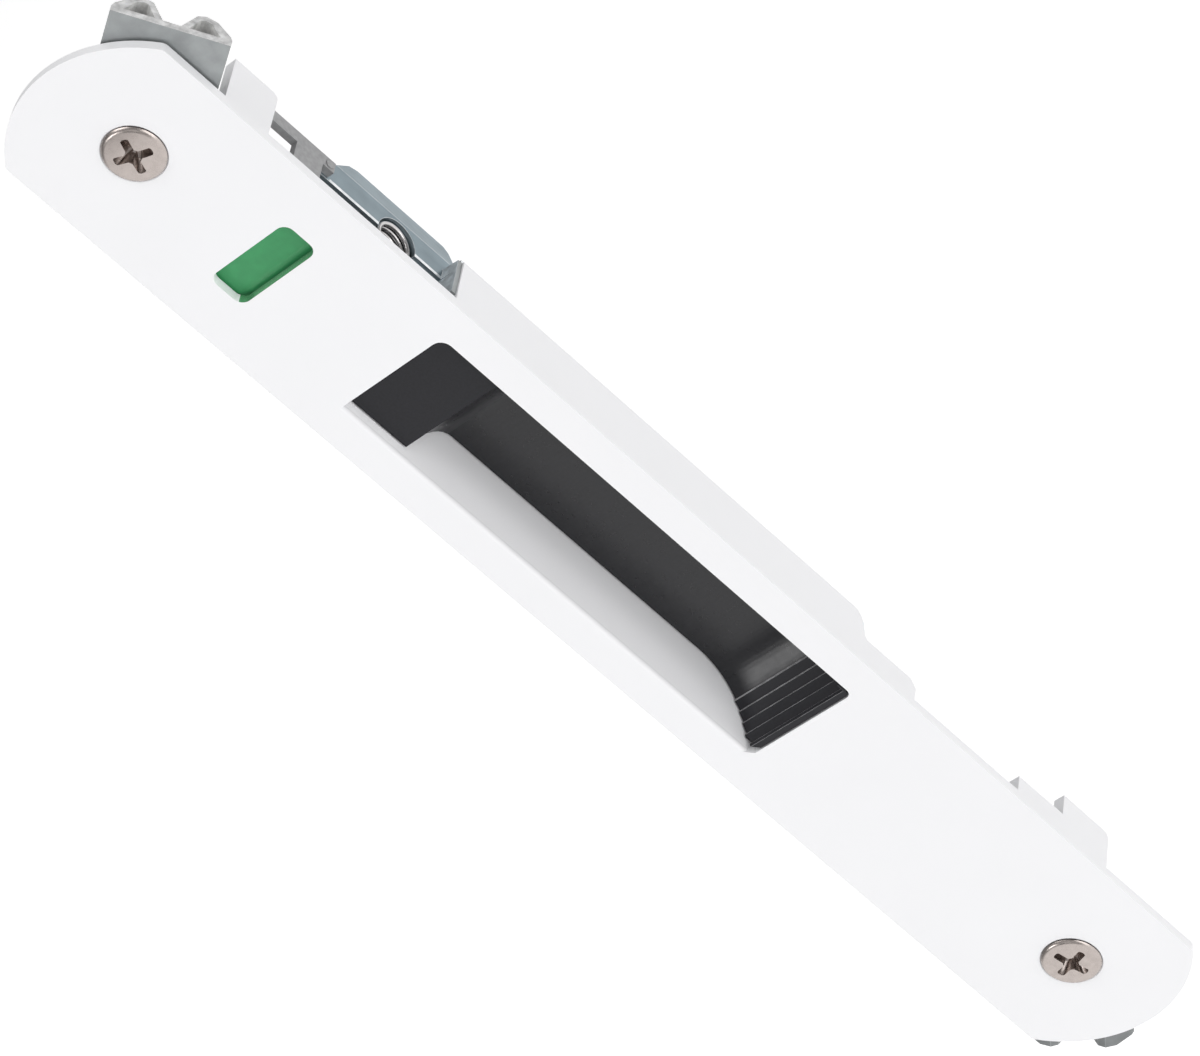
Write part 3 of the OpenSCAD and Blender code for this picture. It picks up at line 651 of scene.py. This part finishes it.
def set_on_points(node_name, pattern, places, turns, finish, creases=CREASE):
    """Copies of a screw on every place, as one plain mesh in the CAD node's place."""
    mesh = bpy.data.meshes.new("look_" + node_name)
    mesh.from_pydata(places, [], [])
    angles = mesh.attributes.new("turn", "FLOAT_VECTOR", "POINT")
    angles.data.foreach_set("vector", np.array(turns, float).ravel())
    screws = new_object("look_" + node_name, mesh)
    grow(screws, "Piece on points", repeat_group,
         {"Piece": pattern, "Size": 1.0, "Finish": material(finish)})
    bpy.data.objects.remove(pattern)
    sharp_by_angle(screws.data, creases)
    finish_piece(screws, node_name)


# ---------------------------------------------------------------- operators

class LOCK_OT_stage(bpy.types.Operator):
    """Makes the floor, the soft lights and the camera"""

    bl_idname = "lock.stage"
    bl_label = "Stage"

    def execute(self, context):
        settings = context.scene.lock_camera
        self.lay_floor(settings.floor)
        self.set_camera(context.scene, settings)
        self.set_lights(context.scene)
        return {"FINISHED"}

    def lay_floor(self, height):
        """White paper floor."""
        mesh = bpy.data.meshes.new("floor")
        corners = [(x * FLOOR_HALF, y * FLOOR_HALF, height)
                   for x, y in ((-1, -1), (1, -1), (1, 1), (-1, 1))]
        mesh.from_pydata(corners, [], [(0, 1, 2, 3)])
        floor = new_object("floor", mesh)
        made, core = shader("floor_paper", (0.93, 0.93, 0.93))
        core.inputs["Roughness"].default_value = 0.9
        core.inputs["Emission Color"].default_value = (1, 1, 1, 1)
        core.inputs["Emission Strength"].default_value = FLOOR_GLOW
        mesh.materials.append(made)

    def set_camera(self, scene, settings):
        """Camera that sees the lock as the photograph does."""
        data = bpy.data.cameras.new("camera")
        data.lens = settings.lens
        data.sensor_width = SENSOR_WIDTH_MM
        data.clip_start, data.clip_end = CAMERA_SEES
        camera = new_object("camera", data)
        turn = Matrix((CAMERA_RIGHT, CAMERA_UP, CAMERA_BACK)).transposed().to_4x4()
        camera.matrix_world = Matrix.Translation(settings.place) @ turn
        scene.camera = camera
        scene.view_settings.view_transform = "Standard"

    def set_lights(self, scene):
        """White sky and soft square lights."""
        scene.world = scene.world or bpy.data.worlds.new("world")
        scene.world.use_nodes = True
        sky = scene.world.node_tree.nodes["Background"]
        sky.inputs["Color"].default_value = (1, 1, 1, 1)
        sky.inputs["Strength"].default_value = SKY_STRENGTH
        for name, place, width, power in LIGHTS:
            light = bpy.data.lights.new(name, "AREA")
            light.energy = power
            light.size = width
            lamp = new_object(name, light)
            lamp.location = place
            lamp.rotation_euler = (-Vector(place)).to_track_quat("-Z", "Y").to_euler()


class LOCK_OT_plate(bpy.types.Operator):
    """Rounds and coats the face plate and the case"""

    bl_idname = "lock.plate"
    bl_label = "Face plate and case"
    # Zone of the leaning finger wall, and how far its faces look towards +X and -Y; those faces
    # take the paler coat as painted light.
    wall_x, wall_z, wall_front = (-0.0105, 0.004), (-0.04, 0.035), 0.0001
    wall_across, wall_out = 0.2, 0.15
    # Zone of the window's walls, which take the paler coat as painted light, and how far the sill
    # looks up and where it begins.
    window_z, window_half_x, window_half_z = 0.0599, 0.0064, 0.0027
    sill_up, sill_front = 0.55, -0.00115
    case_round = 0.7

    def slot_of(self, at, way):
        """Slot of a face of the plate: 0 coat, 1 finger wall and window walls, paler as painted
        light, 2 sill, tinted as a painted green reflection.
        """
        if abs(at.x) < self.window_half_x and abs(at.z - self.window_z) < self.window_half_z:
            return 2 if way.z > self.sill_up and at.y > self.sill_front else 1
        by_opening = (self.wall_x[0] < at.x < self.wall_x[1]
                      and self.wall_z[0] < at.z < self.wall_z[1] and at.y > self.wall_front)
        return 1 if by_opening and way.x > self.wall_across and way.y < -self.wall_out else 0

    def execute(self, context):
        edge = context.scene.lock_edges.coat
        plate = dress("face_plate", "powder_coat", edge, segments=3)
        add_finishes(plate, "wall_coat", "sill_gloss")
        # The finger wall and the window walls take the paler coat as painted light, and the sill
        # its painted green reflection.
        for face in plate.data.polygons:
            face.material_index = self.slot_of(face.center, face.normal)
        dress("case", "powder_coat", edge * self.case_round)
        return {"FINISHED"}


class LOCK_OT_slider(bpy.types.Operator):
    """Finishes the thumb slider with a glossy recess, darker as painted shade, and with painted
    highlights on its ribs' edges
    """

    bl_idname = "lock.slider"
    bl_label = "Thumb slider"
    # Zones of the plate's opening, of the recess and of the grip, and a rib edge's faces.
    opening_x = (-0.0092, 0.0086)
    recess_y, recess_z = (0.0008, 0.0068), (-0.0258, 0.0292)
    grip_top, grip_back = -0.0252, 0.0045
    rib_long, rib_narrow = 0.008, 0.0003

    def slot_of(self, at, size):
        """Slot of a face of the slider: 0 grained, 1 glossy recess, darker as painted shade, 2
        edge of a rib, pale as a painted highlight.
        """
        if not self.opening_x[0] < at.x < self.opening_x[1]:
            return 0
        narrow = size[0] > self.rib_long and math.hypot(size[1], size[2]) < self.rib_narrow
        if narrow and at.z < self.grip_top and at.y < self.grip_back:
            return 2
        in_recess = (self.recess_z[0] < at.z < self.recess_z[1]
                     and self.recess_y[0] < at.y < self.recess_y[1])
        return 1 if in_recess else 0

    def execute(self, context):
        edge = context.scene.lock_edges.plastic
        slider = dress("thumb_slider", "slider_plastic", edge, angle=12)
        add_finishes(slider, "slider_gloss", "rib_edge")
        points = slider.data.vertices
        # The recess takes its painted shade, and the ribs' edges their painted highlight.
        for face in slider.data.polygons:
            axes = zip(*(points[i].co for i in face.vertices))
            face.material_index = self.slot_of(face.center, [max(a) - min(a) for a in axes])
        return {"FINISHED"}


class LOCK_OT_indicator(bpy.types.Operator):
    """Colours the indicator flags and their strip"""

    bl_idname = "lock.indicator"
    bl_label = "Indicator"
    round_share = 0.5

    def execute(self, context):
        edge = context.scene.lock_edges.plastic * self.round_share
        for name, finish in (("green_flag", "flag_green"), ("red_flag", "flag_red"),
                             ("indicator_strip", "bright_zinc")):
            dress(name, finish, edge)
        return {"FINISHED"}


class LOCK_OT_sheets(bpy.types.Operator):
    """Plates the folded sheet pieces"""

    bl_idname = "lock.sheets"
    bl_label = "Sheet pieces"
    # Bracket: outer face of its side walls, depth where they fold, height of its foot,
    # length of the CAD model's flare above the foot, and height where the painted highlight bands
    # end.
    side, fold, foot, flare, hem_end = 0.0094, 0.00625, 0.0414, 0.0028, 0.0602
    # How near a point is to be on a plane, a round on the side, and a flare off it.
    near, on_side, off_side = 0.02 * MM, 0.2 * MM, 0.1 * MM
    # How far a face looks up at the foot, out at a side and outwards at a cut end.
    foot_up, side_on, end_on = 0.3, 0.8, 0.8
    # Clips: name, angle that the cut ends face, finish and finish of the cut ends.
    # The upper clip's cut ends and rounded edges are painted paler, partly as a painted highlight.
    clips = (("upper_clip", 59.8, "clip_zinc", "clip_edge"),
             # The lower clip's plating is painted darker than the upper clip's, as painted shade.
             ("lower_clip", 218, "clip_worn", "clip_zinc"))
    # An inside face has another wall of the clip in front of it within this distance, and is
    # painted paler as painted light.
    lobe, off_face = 0.004, 0.01 * MM

    def execute(self, context):
        edges = context.scene.lock_edges
        self.plate_bracket(edges)
        self.plate_cover(edges)
        for clip in self.clips:
            self.plate_clip(edges, *clip)
        return {"FINISHED"}

    def hem(self, bm):
        """Tighter flare at the bracket's foot, and edges that part from each side wall the band
        painted as a highlight.
        """
        edges = bpy.context.scene.lock_edges
        for v in bm.verts:
            at_flare = abs(v.co.z - self.foot - self.flare) < self.near
            at_side = abs(abs(v.co.x) - self.side) < self.near
            if at_flare and at_side and v.co.y > self.fold - self.near:
                v.co.z = self.foot + edges.flare
        for place, way in (((0, self.fold + edges.hem, 0), (0, 1, 0)),
                           ((0, 0, self.hem_end), (0, 0, 1))):
            everything = bm.verts[:] + bm.edges[:] + bm.faces[:]
            bmesh.ops.bisect_plane(bm, geom=everything, plane_co=place, plane_no=way)

    def plate_bracket(self, edges):
        """Bracket with bands painted bright as a highlight (slot 1), and a duller foot (slots 2
        and 3) whose upward faces are paler as painted light.
        """
        bracket = dress("hook_bracket", "zinc_plate", edges.sheet, edge_finish="zinc_edge",
                        angle=12, reshape=self.hem)
        add_finishes(bracket, "clip_zinc", "foot_zinc")
        for face in bracket.data.polygons:
            at = face.center
            in_highlight_band = at.z < self.hem_end and at.y < self.fold + edges.hem
            # Band along each side wall: painted highlight.
            if in_highlight_band and abs(abs(at.x) - self.side) < self.on_side:
                face.material_index = 1
            # Foot outside the side walls: faces looking up are painted paler as painted light, the
            # rest take the clip plating.
            if abs(at.x) > self.side + self.off_side and at.z < self.foot + self.flare:
                face.material_index = 3 if face.normal.z > self.foot_up else 2

    def plate_cover(self, edges):
        """Back cover, with its cut sides bright (slot 1), partly as a painted highlight."""
        cover = dress("back_cover", "zinc_plate", edges.sheet, edge_finish="zinc_edge")
        for face in cover.data.polygons:
            if abs(face.normal.x) > self.side_on:
                face.material_index = 1

    def plate_clip(self, edges, name, angle, plating, cut):
        """Clamp clip, with its cut ends (slot 1) paler, partly as a painted highlight, and the
        insides of its lobes (slot 2) paler as painted light in their shade.
        """
        clip = dress(name, plating, edges.sheet, edge_finish=cut)
        add_finishes(clip, "clip_inside")
        mesh = clip.data
        reach = Vector((math.sin(math.radians(angle)), 0, math.cos(math.radians(angle))))
        walls = BVHTree.FromPolygons([v.co for v in mesh.vertices],
                                     [face.vertices for face in mesh.polygons])
        for face in mesh.polygons:
            start = face.center + self.off_face * face.normal
            if face.normal.dot(reach) > self.end_on:
                face.material_index = 1
            # Faces inside a lobe take the paler plating as painted light.
            elif walls.ray_cast(start, face.normal, self.lobe)[0]:
                face.material_index = 2


class LOCK_OT_castings(bpy.types.Operator):
    """Finishes the hook, the carrier and the stay bars"""

    bl_idname = "lock.castings"
    bl_label = "Castings"

    def execute(self, context):
        for name in ("hook", "slide_carrier", "stay_bars"):
            dress(name, "bare_casting", context.scene.lock_edges.sheet)
        return {"FINISHED"}


class LOCK_OT_pins(bpy.types.Operator):
    """Finishes the pins, the rivets and the leaf spring"""

    bl_idname = "lock.pins"
    bl_label = "Pins and leaf spring"
    pieces = (("pivot_pin", "bright_zinc", 0.08 * MM), ("drive_pin", "bright_zinc", 0.08 * MM),
              ("stay_rivets", "bare_casting", 0.04 * MM),
              ("detent_spring", "spring_steel", 0.05 * MM))

    def execute(self, context):
        for name, finish, edge in self.pieces:
            dress(name, finish, edge)
        return {"FINISHED"}


class LOCK_OT_small_screws(bpy.types.Operator):
    """Makes the small pan head screws where the CAD model has them"""

    bl_idname = "lock.small_screws"
    bl_label = "Small screws"
    # Turn of each pair's first recess in degrees, and how much further the second is turned.
    screws = (("cover_screws", 20), ("carrier_screws", 35), ("bracket_screws", 50))
    turn_between = 31
    head_tall, shank, sides = 0.9 * MM, 0.8 * MM, 28
    # Shares of the head's height and radius, from the middle of its face to its seat.
    dome = ((0, 0.02), (0, 0.35), (0.06, 0.6), (0.2, 0.8), (0.42, 0.93), (0.7, 1), (1, 1))

    def rows(self, head, length):
        """Rows of one screw, from its head's face to its tip."""
        tall, shank = self.head_tall, self.shank
        made = [(tall * up, head * out, 0) for up, out in self.dome]
        made += [(tall + (length - tall) * f, shank, 0) for f in (0, 0.3, 0.9)]
        return made + [(length, shank * 0.6, 0)]

    def execute(self, context):
        for name, turn in self.screws:
            halved = halves(name)
            low, high = halved[0]
            head = (high[0] - low[0]) / 2
            recess = (self.head_tall * 0.8, head * 0.66, head * 0.28)
            pattern = screw_pattern(self.rows(head, high[1] - low[1]), recess, self.sides)
            places = [((lo[0] + hi[0]) / 2, hi[1], (lo[2] + hi[2]) / 2) for lo, hi in halved]
            turns = [(0, math.radians(turn + self.turn_between * k), math.pi)
                     for k in range(len(halved))]
            set_on_points(name, pattern, places, turns, "bright_zinc")
        return {"FINISHED"}


class LOCK_OT_fixing_screws(bpy.types.Operator):
    """Makes the two fixing screws with their thread and cross recess"""

    bl_idname = "lock.fixing_screws"
    bl_label = "Fixing screws"
    # Y of the head's widest ring and of the bare shank's end, and height of the cone.
    seat, bare, cone = -1.3 * MM, 5.2 * MM, 1.0 * MM
    shank, crest, recess_deep = 2.2 * MM, 2.0 * MM, 2.0 * MM
    sides, steps_per_turn, creases = 48, 8, 32
    # Turns of the two recesses in degrees, lower screw first, as in the photograph.
    turns = (76, 20)

    def rows(self, thread, head, top, end):
        """Rows of one screw, from its domed face to its tip."""
        rim, bare, long = self.seat - top, self.bare - top, end - top
        # Domed face.
        made = [(thread.dome * f * f, head * 0.9 * f, 0)
                for f in (0.01, 0.3, 0.5, 0.7, 0.85, 0.95, 1.0)]
        # Rounded rim, cone and bare shank.
        made += [(0.33 * MM, head * 0.955, 0), (0.45 * MM, head * 0.985, 0),
                 (rim - 0.08 * MM, head, 0), (rim, head * 0.985, 0),
                 (rim + self.cone, head - self.cone, 0), (rim + self.cone, self.shank, 0),
                 (bare, self.shank, 0), (bare + 0.1 * MM, self.crest, 0)]
        # Thread, whose groove deepens over its first turn, and tapered tip.
        first, last = bare + 0.2 * MM, long - 0.9 * MM
        count = int((last - first) / (thread.pitch / self.steps_per_turn))
        made += [(first + (last - first) * i / count, self.crest,
                  min(1.0, i / self.steps_per_turn)) for i in range(count + 1)]
        return made + [(last + 0.3 * MM, self.crest * 0.9, 1.0),
                       (last + 0.6 * MM, self.crest * 0.78, 0.7), (long, self.crest * 0.62, 0)]

    def execute(self, context):
        thread = context.scene.lock_thread
        halved = halves("face_screws")
        low, high = halved[0]
        rows = self.rows(thread, (high[0] - low[0]) / 2, low[1], high[1])
        recess = (self.recess_deep, thread.arm, thread.arm_width)
        pattern = screw_pattern(rows, recess, self.sides, self.creases,
                                pitch=thread.pitch, depth=thread.depth)
        places = [((lo[0] + hi[0]) / 2, low[1], (lo[2] + hi[2]) / 2) for lo, hi in halved]
        turns = [(0, math.radians(turn), 0) for turn in self.turns]
        set_on_points("face_screws", pattern, places, turns, "screw_nickel", self.creases)
        return {"FINISHED"}


class LOCK_OT_spring(bpy.types.Operator):
    """Winds the hook's spring"""

    bl_idname = "lock.spring"
    bl_label = "Coiled spring"
    # Outer radius of the CAD model's coil, whose middle this one keeps.
    cad_radius = 2.6 * MM
    steps_per_turn, leg_steps, wire_sides, creases = 40, 5, 14, 50

    def coil_points(self, form):
        """Middle line of the wire: a leg, the turns about an axis along X, and a leg."""
        low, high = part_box("torsion_spring")
        start, end = low[0] + form.wire / 2, high[0] - form.wire / 2
        middle_y, middle_z = low[1] + self.cad_radius, high[2] - self.cad_radius
        turn = np.linspace(0, form.turns, int(form.turns * self.steps_per_turn) + 1)
        angle = math.pi / 2 + 2 * math.pi * turn
        coil = np.stack((start + (end - start) * turn / form.turns,
                         middle_y + form.radius * np.cos(angle),
                         middle_z + form.radius * np.sin(angle)), axis=-1)
        first, last = (np.array((0.0, -math.sin(a), math.cos(a))) for a in (angle[0], angle[-1]))
        reach = np.linspace(form.leg, form.wire, self.leg_steps)[:, None]
        return np.concatenate((coil[0] - reach * first, coil, coil[-1] + reach[::-1] * last))

    def execute(self, context):
        form = context.scene.lock_spring
        points = self.coil_points(form)
        mesh = bpy.data.meshes.new("look_torsion_spring")
        mesh.from_pydata(points.tolist(), [(i, i + 1) for i in range(len(points) - 1)], [])
        spring = new_object("look_torsion_spring", mesh)
        grow(spring, "Wire along line", wire_group,
             {"Wire radius": form.wire / 2, "Sides": self.wire_sides,
              "Finish": material("spring_steel")})
        sharp_by_angle(spring.data, self.creases)
        finish_piece(spring, "torsion_spring")
        return {"FINISHED"}


class LOCK_PT_panel(bpy.types.Panel):
    """Lists the lock's settings and steps"""

    bl_idname = "LOCK_PT_panel"
    bl_label = "Hook lock"
    bl_space_type = "VIEW_3D"
    bl_region_type = "UI"
    bl_category = "Lock"

    def draw(self, context):
        for group in GROUPS:
            settings = getattr(context.scene, group)
            for name in settings.__annotations__:
                self.layout.prop(settings, name)
        for step in STEPS:
            self.layout.operator(step.bl_idname)


GROUPS = {"lock_finish": LockFinish, "lock_edges": LockEdges, "lock_thread": LockThread,
          "lock_spring": LockSpring, "lock_camera": LockCamera}
STEPS = (LOCK_OT_stage, LOCK_OT_plate, LOCK_OT_slider, LOCK_OT_indicator, LOCK_OT_sheets,
         LOCK_OT_castings, LOCK_OT_pins, LOCK_OT_small_screws, LOCK_OT_fixing_screws,
         LOCK_OT_spring)


def register():
    for kind in (*GROUPS.values(), *STEPS, LOCK_PT_panel):
        bpy.utils.register_class(kind)
    for name, group in GROUPS.items():
        setattr(bpy.types.Scene, name, bpy.props.PointerProperty(type=group))


def unregister():
    for name in GROUPS:
        delattr(bpy.types.Scene, name)
    for kind in (LOCK_PT_panel, *reversed(STEPS), *GROUPS.values()):
        bpy.utils.unregister_class(kind)


def main():
    register()
    for step in STEPS:
        getattr(bpy.ops.lock, step.bl_idname.removeprefix("lock."))()


if __name__ == "__main__":
    main()
